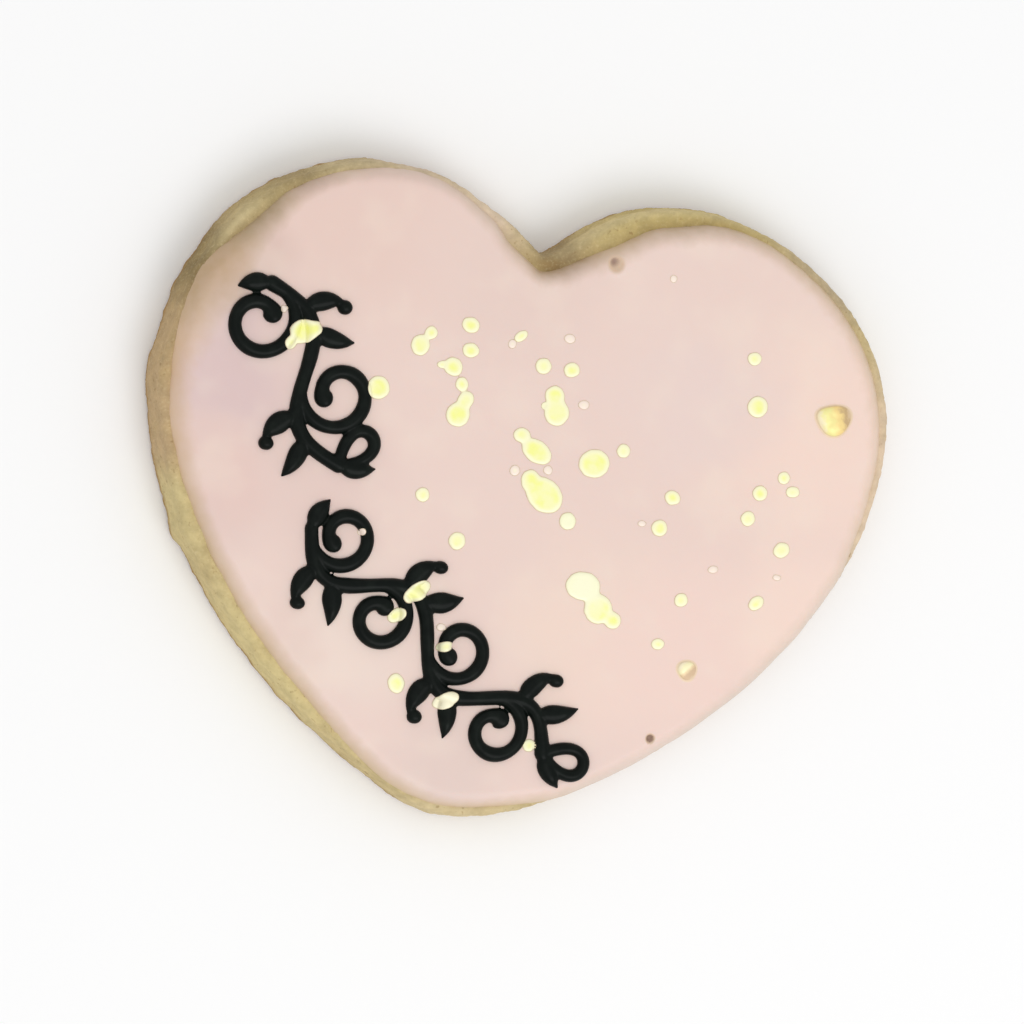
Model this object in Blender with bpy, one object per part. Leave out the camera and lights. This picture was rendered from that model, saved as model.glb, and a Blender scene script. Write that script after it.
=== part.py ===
"""A heart-shaped biscuit with pink royal icing, a black piped vine scroll and drops of gold.

Metres, +Z up. The biscuit lies flat: its underside is at Z = 0 and its box is centred over the origin.
"""

import math
import random

import bpy
from mathutils import Matrix, Vector

MM = 0.001

# Driving dimensions of the biscuit: a heart from a 90 mm cutter that spread a little in the oven
WIDTH = 92.0 * MM
BISCUIT_THICK = 7.0 * MM
BOTTOM_EDGE = 0.4 * MM
TOP_EDGE = 1.0 * MM
WALL_LEAN = 0.3 * MM

# Driving dimensions of the icing, which rests a hair above the biscuit
RESTING_GAP = 0.3 * MM
ICING_THICK = 1.3 * MM
ICING_SHOULDER = 2.2 * MM
SHOULDER_TURNS = (0, 32, 60, 90)

# The heart's knots in mm, drawn at this half width: point, pull towards it, pull away from it
DRAWN_HALF_WIDTH = 46.0
HEART_KNOTS = {
    "notch": ((-1.4, 30.2), (-3.0, 2.0), (4.5, 1.15)),
    "right lobe": ((18.6, 38.9), (-13.5, 0.0), (7.6, 0.0)),
    "right side": ((46.0, 12.5), (0.0, 19.3), (0.0, -28.8)),
    "tip": ((-1.4, -38.9), (12.3, 0.0), (-10.3, 0.0)),
    "left side": ((-46.0, 10.4), (0.0, -26.7), (0.0, 19.6)),
    "left lobe": ((-21.7, 38.0), (-8.3, 0.0), (13.2, 0.0)),
}
OUTLINE_POINTS = 160
SAMPLES_PER_ARC = 60

# Lumps and flats of the hand-cut edge: place as a part of the way round, height and half length in mm
EDGE_LUMPS = {
    "flat under the tip's right": (0.444, -0.15, 4.0),
    "flat at the tip": (0.503, -0.2, 3.0),
    "lump at the tip": (0.528, 0.25, 3.0),
    "crumb of dough on the left": (0.690, 0.7, 1.4),
    "lump on the left side": (0.762, 0.4, 3.0),
    "flat above it": (0.786, -0.25, 3.0),
    "flat on the left shoulder": (0.822, -0.2, 3.0),
    "lump on the left shoulder": (0.843, 0.3, 3.5),
    "flat on the left lobe": (0.891, -0.2, 4.0),
    "lump on the left lobe": (0.906, 0.15, 3.0),
}

# Bare rim left round the icing: place as a part of the way round, width in mm
ICING_MARGINS = (
    (0.00, 2.2),
    (0.035, 3.2),
    (0.06, 2.6),
    (0.10, 1.4),
    (0.20, 1.5),
    (0.25, 1.3),
    (0.29, 0.5),
    (0.45, 0.5),
    (0.50, 1.5),
    (0.54, 0.6),
    (0.61, 1.5),
    (0.69, 1.5),
    (0.76, 1.1),
    (0.80, 1.3),
    (0.84, 2.1),
    (0.88, 0.7),
    (0.93, 0.6),
    (0.96, 1.3),
)

# The piped scroll: two wavy stems, each with a curl, two leaves and a berry for each half wave
BEAD_HALF_WIDTH = 0.92 * MM
CURL_HALF_WIDTH = 0.87 * MM
PETAL_HALF_WIDTH = 0.78 * MM
BEAD_HEIGHT = 0.9 * MM
BEAD_SUNK = 0.5 * MM
BEAD_SKIRT = 0.06 * MM
BEAD_FLOOR_SHARE = 0.85
BEAD_CROWN = (42, 90, 138)
THIN_BEAD_POWER = 0.7
BEAD_STEP = 1.05 * MM
WAVE_LONGER = 1.15
END_TURN = math.radians(60)
LEAF_STEPS = 5
LEAF_FULLNESS = 0.8
PETAL_STEPS = 14
STEMS = {
    "upper stem": {"start": (-34.8, 21.2), "end": (-23.0, 1.0), "half_waves": 2, "swing": 3.0, "first": 1},
    "lower stem": {"start": (-25.0, -7.0), "end": (8.0, -29.4), "half_waves": 4, "swing": 3.2, "first": -1},
}
CURL_OUTER = 0.40
CURL_INNER = 0.155
CURL_TURNS = 1.05
CURL_PLACE = 0.14
CURL_AWAY = math.radians(16)
CURL_BALL = 1.25 * MM
LEAVES = (
    {"place": 0.36, "away": math.radians(80), "length": 5.2 * MM, "bend": math.radians(-45)},
    {"place": 0.60, "away": math.radians(48), "length": 5.4 * MM, "bend": math.radians(35)},
)
ROOT_LEAF = {"away": math.radians(20), "length": 4.2 * MM, "bend": math.radians(30)}
END_LEAF = {"away": math.radians(12), "length": 4.6 * MM, "bend": math.radians(25)}
LEAF_WIDTH = 2.5 * MM
LEAF_ROOT_HALF_WIDTH = 0.5 * MM
LEAF_POINT_HALF_WIDTH = 0.15 * MM
BERRY_OUT = 4.4 * MM
BERRY_RADIUS = 0.85 * MM
PETAL_AWAY = math.radians(72)
PETAL_LENGTH = 5.4 * MM
PETAL_WIDTH = 4.2 * MM

# Gold drops of 0.8 mm or more, cluster by cluster: x, y and radius in mm, as they fell on the icing
GOLD_DROPS = {
    "upper left": ((-29.9, 16.1, 1.6), (-19.7, 10.8, 1.4)),
    "trail left of the middle": (
        (-15.2, 16.8, 1.2),
        (-14.1, 18.6, 0.8),
        (-9.5, 20.2, 1.0),
        (-9.1, 17.3, 0.9),
        (-10.9, 14.8, 1.1),
        (-9.4, 13.1, 0.8),
        (-8.7, 11.3, 1.0),
        (-9.4, 9.4, 1.5),
    ),
    "trail down the middle": (
        (0.5, 16.8, 1.0),
        (4.0, 16.9, 0.9),
        (2.4, 13.6, 1.2),
        (3.0, 11.5, 1.6),
        (-0.9, 8.2, 1.0),
        (1.2, 6.5, 1.7),
        (1.0, 3.3, 1.0),
        (3.1, 1.5, 2.3),
        (8.6, 6.2, 1.9),
        (12.0, 8.4, 0.85),
        (6.6, -1.1, 1.0),
    ),
    "beside the scroll": ((-11.9, -0.9, 0.9), (-6.8, -5.7, 1.1), (-8.3, -23.6, 1.1)),
    "big pair": ((9.8, -8.7, 2.1), (12.0, -11.0, 1.8), (14.2, -12.3, 0.9)),
    "right": (
        (26.6, 22.0, 0.85),
        (28.0, 16.4, 1.3),
        (30.0, 6.1, 0.9),
        (34.3, 6.9, 0.8),
        (29.1, 2.7, 0.9),
        (34.0, -0.3, 1.0),
        (31.9, -7.3, 1.0),
    ),
    "lower right": (
        (19.2, 3.7, 0.9),
        (18.1, -0.2, 1.0),
        (22.4, -8.3, 0.85),
        (20.5, -14.0, 0.8),
    ),
}
GOLD_NUGGETS = {"nugget by the right side": (37.5, 16.3, 1.9), "bead at the lower right": (24.4, -16.5, 1.0)}
DROP_HEIGHT = 0.28 * MM
NUGGET_HEIGHT = 0.9 * MM
DROP_SUNK = 0.45 * MM
DROP_SIDES = 7
DROP_RAGGED = 0.08
DROP_SHOULDER = (0.95, 0.4)
DROP_TOP_SHARE = 0.62
DROP_SEED = 7

BISCUIT_COLOUR = (0.60, 0.48, 0.24, 1.0)
BISCUIT_ROUGHNESS = 0.85
ICING_COLOUR = (0.82, 0.64, 0.58, 1.0)
ICING_ROUGHNESS = 0.4
SHARP_ANGLE = math.radians(40)


def clear_scene():
    for obj in list(bpy.data.objects):
        bpy.data.objects.remove(obj, do_unlink=True)


def cubic(p0, p1, p2, p3, t):
    s = 1.0 - t
    return p0 * s**3 + p1 * 3 * s * s * t + p2 * 3 * s * t * t + p3 * t**3


def even_spacing(points, count):
    """Points spaced evenly along a closed polyline, the first of them kept."""
    closed = points + points[:1]
    lengths = [(b - a).length for a, b in zip(closed, closed[1:])]
    step = sum(lengths) / count
    spaced = []
    walked = 0.0
    for a, b, length in zip(closed, closed[1:], lengths):
        while len(spaced) < count and len(spaced) * step <= walked + length:
            spaced.append(a.lerp(b, (len(spaced) * step - walked) / length))
        walked += length
    return spaced


def outward_normals(points):
    """Unit normals in the XY plane of a loop that runs clockwise seen from above."""
    normals = []
    for before, after in zip(points[-1:] + points[:-1], points[1:] + points[:1]):
        along = after - before
        normals.append(Vector((-along.y, along.x)).normalized())
    return normals


def lump_height(place, length):
    """How far the hand-cut edge stands proud at a part of the way round a loop of that length."""
    height = 0.0
    for centre, lump, half_length in EDGE_LUMPS.values():
        height += lump * MM * math.exp(-(((place - centre) * length / (half_length * MM)) ** 2))
    return height


def heart_outline():
    """The smooth heart, clockwise from the notch."""
    scale = WIDTH / 2 / DRAWN_HALF_WIDTH
    knots = [[Vector(pair) * scale for pair in knot] for knot in HEART_KNOTS.values()]
    points = []
    for (start, _, leave), (end, arrive, _) in zip(knots, knots[1:] + knots[:1]):
        for k in range(SAMPLES_PER_ARC):
            points.append(cubic(start, start + leave, end + arrive, end, k / SAMPLES_PER_ARC))
    return even_spacing(points, OUTLINE_POINTS)


def lumpy(points):
    """The loop with the lumps and flats of its hand-cut edge."""
    length = sum((b - a).length for a, b in zip(points, points[1:] + points[:1]))
    normals = outward_normals(points)
    return [p + n * lump_height(k / len(points), length) for k, (p, n) in enumerate(zip(points, normals))]


def box_middle(points):
    xs = [p.x for p in points]
    ys = [p.y for p in points]
    return Vector((max(xs) + min(xs), max(ys) + min(ys))) / 2


def inset(points, widths):
    """The loop drawn in by a width at each point."""
    return [p - n * w for p, n, w in zip(points, outward_normals(points), widths)]


def margin(place):
    """The bare rim's width at a part of the way round, eased between the listed places."""
    stops = ICING_MARGINS + ((1.0, ICING_MARGINS[0][1]),)
    for (a, width_a), (b, width_b) in zip(stops, stops[1:]):
        if place <= b:
            ease = (1 - math.cos(math.pi * (place - a) / (b - a))) / 2
            return (width_a + (width_b - width_a) * ease) * MM
    return stops[-1][1] * MM


def material(name, colour, roughness):
    made = bpy.data.materials.new(name)
    made.use_nodes = True
    shader = made.node_tree.nodes["Principled BSDF"]
    shader.inputs["Base Color"].default_value = colour
    shader.inputs["Roughness"].default_value = roughness
    shader.inputs["Metallic"].default_value = 0.0
    return made


def loft(name, rings):
    """A closed solid through rings of equally many points, from the lowest to the highest."""
    count = len(rings[0])
    vertices = [point for ring in rings for point in ring]
    faces = [tuple(reversed(range(count)))]
    for r in range(len(rings) - 1):
        for k in range(count):
            after = (k + 1) % count
            faces.append((r * count + k, r * count + after, (r + 1) * count + after, (r + 1) * count + k))
    faces.append(tuple(range((len(rings) - 1) * count, len(rings) * count)))
    mesh = bpy.data.meshes.new(name)
    mesh.from_pydata(vertices, [], faces)
    mesh.update()
    return bpy.data.objects.new(name, mesh)


def at_height(points, z):
    """The clockwise loop as anticlockwise points at one height, so that lofted faces point out."""
    return [Vector((p.x, p.y, z)) for p in reversed(points)]


def make_biscuit(outline):
    straight_top = BISCUIT_THICK - TOP_EDGE
    profile = (
        (BOTTOM_EDGE, 0.0),
        (0.0, BOTTOM_EDGE),
        (0.0, 0.5 * straight_top),
        (WALL_LEAN, straight_top),
        (WALL_LEAN + 0.3 * TOP_EDGE, BISCUIT_THICK - 0.3 * TOP_EDGE),
        (WALL_LEAN + TOP_EDGE, BISCUIT_THICK),
    )
    rings = [at_height(inset(outline, [width] * len(outline)), z) for width, z in profile]
    return loft("biscuit", rings)


def make_icing_sheet(outline):
    count = len(outline)
    edge = inset(outline, [margin(k / count) for k in range(count)])
    foot = BISCUIT_THICK + RESTING_GAP
    rings = []
    for degrees in SHOULDER_TURNS:
        turn = math.radians(degrees)
        width = ICING_SHOULDER * (1 - math.cos(turn))
        rings.append(at_height(inset(edge, [width] * count), foot + ICING_THICK * math.sin(turn)))
    return loft("icing", rings)


def heading_vector(heading):
    return Vector((math.cos(heading), math.sin(heading)))


def walk(start, headings, step):
    points = [start]
    for heading in headings:
        points.append(points[-1] + heading_vector(heading) * step)
    return points


def stem_path(start, end, half_waves, swing, first):
    """A wave along the line from start to end."""
    start = Vector(start) * MM
    along = Vector(end) * MM - start
    across = Vector((-along.y, along.x)).normalized() * swing * MM * first
    steps = round(along.length * WAVE_LONGER / BEAD_STEP)
    path = []
    for k in range(steps + 1):
        t = k / steps
        path.append(start + along * t + across * math.sin(math.pi * half_waves * t))
    return path


def place_on(path, t):
    """The point and heading at a part of the way along a path."""
    k = min(int(t * (len(path) - 1)), len(path) - 2)
    step = path[k + 1] - path[k]
    return path[k] + step * (t * (len(path) - 1) - k), math.atan2(step.y, step.x)


def curl(start, heading, side, span):
    """A tendril that winds inwards to a ball, with its half widths."""
    total = CURL_TURNS * 2 * math.pi
    headings = []
    turned = 0.0
    while turned < total:
        radius = (CURL_OUTER + (CURL_INNER - CURL_OUTER) * turned / total) * span
        turned += BEAD_STEP / radius
        headings.append(heading + side * (turned - BEAD_STEP / radius / 2))
    path = walk(start, headings, BEAD_STEP)
    widths = [CURL_HALF_WIDTH] * (len(path) - 1) + [CURL_BALL]
    return path, widths


def leaf(start, heading, length, bend):
    """A piped leaf, narrow at its root, fat past the middle and pointed, with its half widths."""
    steps = LEAF_STEPS
    headings = [heading + bend * (k + 0.5) / steps for k in range(steps)]
    path = walk(start, headings, length / steps)
    full = LEAF_FULLNESS
    inner = [LEAF_WIDTH / 2 * math.sin(math.pi * (k / steps) ** full) ** full for k in range(1, steps)]
    return path, [LEAF_ROOT_HALF_WIDTH] + inner + [LEAF_POINT_HALF_WIDTH]


def petal(start, heading):
    """A stroke that runs out and back round an open petal, with its half widths."""
    ahead = heading_vector(heading)
    across = Vector((-ahead.y, ahead.x))
    path = []
    for k in range(PETAL_STEPS):
        turn = 2 * math.pi * (k + 0.5) / PETAL_STEPS
        out = (1 - math.cos(turn)) / 2
        path.append(start + ahead * PETAL_LENGTH * out + across * PETAL_WIDTH / 2 * math.sin(turn) * out**0.5)
    return path, [PETAL_HALF_WIDTH] * PETAL_STEPS


def berry(centre):
    half = heading_vector(0.0) * 0.1 * MM
    return [centre - half, centre + half], [BERRY_RADIUS, BERRY_RADIUS]


def scroll_strokes():
    """Every stroke of the scroll: its path and its half width at each point."""
    strokes = []
    for stem in STEMS.values():
        path = stem_path(**stem)
        strokes.append((path, [BEAD_HALF_WIDTH] * len(path)))
        half_waves = stem["half_waves"]
        span = (Vector(stem["end"]) - Vector(stem["start"])).length * MM / half_waves
        for k in range(half_waves):
            side = -stem["first"] * (-1) ** k
            point, heading = place_on(path, (k + CURL_PLACE) / half_waves)
            strokes.append(curl(point, heading + CURL_AWAY * side, side, span))
            for kind in LEAVES:
                point, heading = place_on(path, (k + kind["place"]) / half_waves)
                away = heading - kind["away"] * side
                strokes.append(leaf(point, away, kind["length"], -kind["bend"] * side))
            point, heading = place_on(path, (k + 0.5) / half_waves)
            strokes.append(berry(point + heading_vector(heading - side * math.pi / 2) * BERRY_OUT))
        point, heading = place_on(path, 0.0)
        back = heading + math.pi + ROOT_LEAF["away"] * stem["first"]
        strokes.append(leaf(point, back, ROOT_LEAF["length"], ROOT_LEAF["bend"] * stem["first"]))
        point, heading = place_on(path, 1.0)
        strokes.append(leaf(point, heading + END_LEAF["away"], END_LEAF["length"], END_LEAF["bend"]))
        strokes.append(petal(point, heading + PETAL_AWAY))
    return strokes


def rounded_ends(path, widths):
    """The stroke with a narrower point added at each end."""
    ends = []
    for tip, inner, width in ((path[0], path[1], widths[0]), (path[-1], path[-2], widths[-1])):
        out = (tip - inner).normalized()
        ends.append((tip + out * width * math.sin(END_TURN), width * math.cos(END_TURN)))
    stroke = ends[:1] + list(zip(path, widths)) + ends[1:]
    return [point for point, _ in stroke], [width for _, width in stroke]


def bead(name, path, widths, surface):
    """A piped bead: a round-topped section along the path, its underside sunk in the icing."""
    path, widths = rounded_ends(path, widths)
    rings = []
    for k, (point, width) in enumerate(zip(path, widths)):
        along = path[min(k + 1, len(path) - 1)] - path[max(k - 1, 0)]
        across = Vector((along.y, -along.x)).normalized()
        tall = BEAD_HEIGHT * min(1.0, width / BEAD_HALF_WIDTH) ** THIN_BEAD_POWER
        section = [(-BEAD_FLOOR_SHARE, -BEAD_SUNK), (BEAD_FLOOR_SHARE, -BEAD_SUNK), (1.0, -BEAD_SKIRT)]
        for degrees in BEAD_CROWN:
            turn = math.radians(degrees)
            section.append((math.cos(turn), tall * math.sin(turn)))
        section.append((-1.0, -BEAD_SKIRT))
        ring = []
        for sideways, up in section:
            spot = point + across * sideways * width
            ring.append(Vector((spot.x, spot.y, surface + up)))
        rings.append(ring)
    return loft(name, [ring[::-1] for ring in rings])


def drop(name, x, y, radius, height, surface, draw):
    """A drop of gold paint: a low, slightly ragged dome sunk into the icing."""
    ragged = [1 + DROP_RAGGED * draw.uniform(-1, 1) for _ in range(DROP_SIDES)]
    rings = []
    shoulder_share, shoulder_up = DROP_SHOULDER
    for wide, up in ((1.0, -DROP_SUNK), (shoulder_share, shoulder_up * height), (DROP_TOP_SHARE, height)):
        ring = []
        for k, rag in enumerate(ragged):
            spot = Vector((x, y)) * MM + heading_vector(2 * math.pi * k / DROP_SIDES) * radius * MM * wide * rag
            ring.append(Vector((spot.x, spot.y, surface + up)))
        rings.append(ring)
    return loft(name, rings)


def fuse(base, pieces):
    """One union of the base with all the pieces, which are then removed."""
    toppings = bpy.data.collections.new("toppings")
    bpy.context.scene.collection.children.link(toppings)
    for piece in pieces:
        toppings.objects.link(piece)
    union = base.modifiers.new("union", "BOOLEAN")
    union.operation = "UNION"
    union.operand_type = "COLLECTION"
    union.collection = toppings
    union.solver = "EXACT"
    bpy.context.view_layer.objects.active = base
    with bpy.context.temp_override(object=base):
        bpy.ops.object.modifier_apply(modifier=union.name)
    for piece in pieces:
        bpy.data.objects.remove(piece, do_unlink=True)
    bpy.data.collections.remove(toppings)


def finish(obj, made):
    obj.data.materials.clear()
    obj.data.materials.append(made)
    obj.data.shade_smooth()
    obj.data.set_sharp_from_angle(angle=SHARP_ANGLE)


def main():
    clear_scene()
    heart = heart_outline()
    outline = lumpy(heart)
    biscuit = make_biscuit(outline)
    icing = make_icing_sheet(heart)
    for obj in (biscuit, icing):
        bpy.context.scene.collection.objects.link(obj)
    surface = BISCUIT_THICK + RESTING_GAP + ICING_THICK
    pieces = [bead(f"stroke_{k}", path, widths, surface) for k, (path, widths) in enumerate(scroll_strokes())]
    draw = random.Random(DROP_SEED)
    for spots, height in ((GOLD_DROPS.values(), DROP_HEIGHT), ([GOLD_NUGGETS.values()], NUGGET_HEIGHT)):
        for cluster in spots:
            for x, y, radius in cluster:
                pieces.append(drop(f"drop_{len(pieces)}", x, y, radius, height, surface, draw))
    fuse(icing, pieces)
    to_middle = Matrix.Translation(-box_middle(outline).to_3d())
    for obj, colour, roughness in (
        (biscuit, BISCUIT_COLOUR, BISCUIT_ROUGHNESS),
        (icing, ICING_COLOUR, ICING_ROUGHNESS),
    ):
        obj.data.transform(to_middle)
        finish(obj, material(obj.name, colour, roughness))


main()
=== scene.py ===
"""The looks of a heart-shaped iced biscuit: crumbed dough, pink icing, a piped scroll and gold drops."""

import math

import bpy
import numpy as np
from mathutils import Matrix, Vector, geometry, noise
from mathutils.bvhtree import BVHTree


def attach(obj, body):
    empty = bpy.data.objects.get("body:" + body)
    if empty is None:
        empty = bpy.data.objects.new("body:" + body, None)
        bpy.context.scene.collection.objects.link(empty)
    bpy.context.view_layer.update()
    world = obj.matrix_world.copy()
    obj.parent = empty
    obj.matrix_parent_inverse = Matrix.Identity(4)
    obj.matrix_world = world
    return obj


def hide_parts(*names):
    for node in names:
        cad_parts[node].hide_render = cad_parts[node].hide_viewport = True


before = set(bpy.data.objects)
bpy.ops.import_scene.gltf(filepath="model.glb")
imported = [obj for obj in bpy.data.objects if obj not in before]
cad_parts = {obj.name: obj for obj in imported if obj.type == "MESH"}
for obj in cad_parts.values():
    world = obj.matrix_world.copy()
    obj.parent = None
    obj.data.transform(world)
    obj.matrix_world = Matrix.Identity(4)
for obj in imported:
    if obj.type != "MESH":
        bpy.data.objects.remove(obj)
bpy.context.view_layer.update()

MM = 0.001
BODY = "root"

# The heart, as in the CAD: knots in mm with the pull towards and away from each, clockwise from the notch
HEART_KNOTS = (
    ((-1.4, 30.2), (-3.0, 2.0), (4.5, 1.15)),
    ((18.6, 38.9), (-13.5, 0.0), (7.6, 0.0)),
    ((46.0, 12.5), (0.0, 19.3), (0.0, -28.8)),
    ((-1.4, -38.9), (12.3, 0.0), (-10.3, 0.0)),
    ((-46.0, 10.4), (0.0, -26.7), (0.0, 19.6)),
    ((-21.7, 38.0), (-8.3, 0.0), (13.2, 0.0)),
)
NOTCH_HALF_TURN = math.radians(24)
SAMPLES_PER_ARC = 200
CAD_OUTLINE_POINTS = 160

# Lumps and flats of the hand-cut edge: place as a part of the way round, height and half length in mm
EDGE_LUMPS = (
    (0.444, -0.15, 4), (0.503, -0.2, 3), (0.528, 0.1, 3), (0.548, -0.2, 3), (0.574, -0.25, 3),
    (0.69, 0.7, 1.4), (0.762, 0.4, 3), (0.786, -0.25, 3), (0.822, -0.2, 3), (0.843, 0.3, 3.5),
    (0.866, 0.3, 3.5), (0.891, 0.1, 4), (0.906, 0.25, 3.5), (0.938, 0.25, 3.5), (0.968, -0.4, 4),
)

# Bare rim left round the icing: place as a part of the way round, width in mm
ICING_MARGINS = (
    (0, 1.9), (0.035, 2.9), (0.06, 2.3), (0.1, 1.2), (0.2, 1.5), (0.25, 1.3), (0.27, 1.1),
    (0.3, 0.2), (0.45, 0.2), (0.5, 1.5), (0.54, 0.6), (0.61, 1.5), (0.69, 1.7), (0.76, 1.1),
    (0.81, 0.7), (0.84, 1.7), (0.88, 0.85), (0.905, 0.85), (0.935, 0.4), (0.97, 1.7), (0.985, 2.3),
)

# How far in from its edge the thin icing lets the dough show through, and on the upper left how far a band of
# painted shade runs: place, width in mm
ICING_FADES = (
    (0, 2.6), (0.035, 3.2), (0.06, 3.2), (0.1, 2.8), (0.2, 2.8), (0.25, 2.4), (0.3, 2.6),
    (0.45, 2), (0.5, 1.6), (0.62, 2.2), (0.69, 2.2), (0.76, 3.4), (0.79, 5.5), (0.81, 8),
    (0.845, 3.2), (0.88, 2), (0.93, 1.8), (0.97, 2.6),
)
# How evenly it fades: low where a brown band of painted shade stays nearly the same before it ends
FADE_POWERS = (
    (0, 1.4), (0.27, 1.4), (0.31, 1), (0.44, 1), (0.48, 1.4), (0.76, 1.3), (0.81, 0.7),
    (0.85, 0.75), (0.88, 1.1), (0.92, 1.4),
)

# Painted highlight where the outer edge of the dough's top catches the light: place, share
CRESTS = (
    (0, 0.2), (0.03, 0.8), (0.08, 0.8), (0.12, 0.2), (0.25, 0), (0.81, 0), (0.84, 1),
    (0.865, 0), (0.94, 0.4),
)
CREST_INSETS = (
    (0, 0.35), (0.8, 0.35), (0.84, 0.8), (0.88, 0.35),
)
CREST_HALF = 0.6
# Painted shade where the rim is darker in the corner below the icing: place, share
NOOK_SHADES = (
    (0, 0.5), (0.04, 0.8), (0.08, 0.8), (0.13, 0.2), (0.3, 0), (0.81, 0), (0.85, 0.1),
    (0.89, 0.2), (0.96, 0.15),
)
NOOK_SHADE_REACH = 0.9

# Biscuit and icing sizes, in mm
BISCUIT_THICK = 7.0
BOTTOM_EDGE = 0.4
TOP_EDGE = 1.0
EDGE_STEPS = 8
WALL_LEAN = 0.3
ICING_TOP = 8.6
ICING_SHOULDER = 2.2
SHOULDER_POWER = 2.5
SHOULDER_RINGS = 14
SHOULDER_CROWDING = 1.5
ICING_SUNK = 0.1
ICING_TUCK = 0.35
ROUND = 1080
NOTCH_SOFTENING = 12
EDGE_SOFTENING = 4
WALL_STEP = 0.25
RIM_WIDTH = 5.6
RIM_STEP = 0.3
# Sheets of triangles, as shares of their step
SHEET_ROW = 0.87
SHEET_JITTER = 0.12
SHEET_SEED = 11
SHEET_GAP = 0.7

# Crumb of the dough: size and height of its lumps and grains, spacing, reach and depth of its pits, in mm
CRUMB_COARSE = (1.9, 0.15)
CRUMB_FINE = (0.6, 0.075)
CRUMB_PITS = (1.5, 0.26, 0.3)
# The patches where they lie: size in mm, and how much of the dough they take
CRUMB_PATCHES = (4.0, 0.25)
UNDERSIDE_STEP = 0.75
UNDERSIDE_DENT = 0.2
# Where the icing comes down over the rim, the dough below it is smooth and this much lower
COVERED_SUNK = 0.15
COVERED_FADE = 0.2

# The icing's surface, in mm: sizes and heights of its swells and of the wander of its edge
ICING_STEP = 0.55
SWELLS = ((14.0, 0.05), (2.5, 0.008))
EDGE_WANDERS = ((5.0, 0.12), (1.2, 0.04))
# Pits in the icing: x, y, reach and depth in mm
PITS = ((7.2, 30.5, 1.15, 0.3), (21.2, -25.5, 0.62, 0.4))
# As shares of its reach: its floor, and its lip, which has a height in mm
PIT_FLOOR = 0.62
PIT_LIP = (1.1, 0.2, 0.05)
# The reach of its tan stain and painted shade, and the middle and reach of the painted shade in a large one
PIT_STAIN_AND_SHADE_REACH = 1.15
PIT_SHADED_FROM = 1.0
PIT_SHADE = (-0.28, 0.3, 0.75)
PIT_LIT_SHARE = 0.4
# Close rings of points in and round a pit
PIT_SHEET = 1.6
PIT_RINGS = 10
PIT_STEP = 0.13
PIT_TWIST = 0.3
PIT_LEAST_POINTS = 8

# The piped scroll, as in the CAD, in mm
BEAD_HALF_WIDTH = 0.92
CURL_HALF_WIDTH = 0.87
PETAL_HALF_WIDTH = 0.78
BEAD_HEIGHT = 0.9
BEAD_SUNK = 0.5
BEAD_STEP = 0.25
BEAD_SIDES = 16
BEAD_WANDER = (3.0, 0.14)
THIN_BEAD_POWER = 0.7
WAVE_LONGER = 1.15
STEMS = (
    {"start": (-34.8, 21.2), "end": (-23.0, 1.0), "half_waves": 2, "swing": 3.0, "first": 1},
    {"start": (-25.0, -7.0), "end": (8.0, -29.4), "half_waves": 4, "swing": 3.2, "first": -1},
)
CURL_OUTER = 0.40
CURL_INNER = 0.155
CURL_TURNS = 1.05
CURL_PLACE = 0.14
CURL_AWAY = math.radians(16)
CURL_BALL = 1.25
CURL_BALL_LENGTH = 0.75
END_TURNS = np.radians((18, 36, 54, 70, 82))
LEAVES = (
    {"place": 0.36, "away": math.radians(80), "length": 5.2, "bend": math.radians(-45)},
    {"place": 0.60, "away": math.radians(48), "length": 5.4, "bend": math.radians(35)},
)
ROOT_LEAF = {"away": math.radians(20), "length": 4.2, "bend": math.radians(30)}
END_LEAF = {"away": math.radians(12), "length": 4.6, "bend": math.radians(25)}
LEAF_WIDTH = 2.5
LEAF_FULLNESS = 0.8
LEAF_ROOT_HALF_WIDTH = 0.5
LEAF_POINT_HALF_WIDTH = 0.12
BERRY_OUT = 4.4
BERRY_RADIUS = 0.85
BERRY_HALF_LENGTH = 0.1
PETAL_AWAY = math.radians(72)
PETAL_LENGTH = 5.4
PETAL_WIDTH = 4.2
PETAL_STEPS = 56
SCROLL_VOXEL = 0.14
SETTLE_SHARE = 0.5
SETTLE_PASSES = 4
RAY_START = 50.0
TINY = 1e-9

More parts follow.
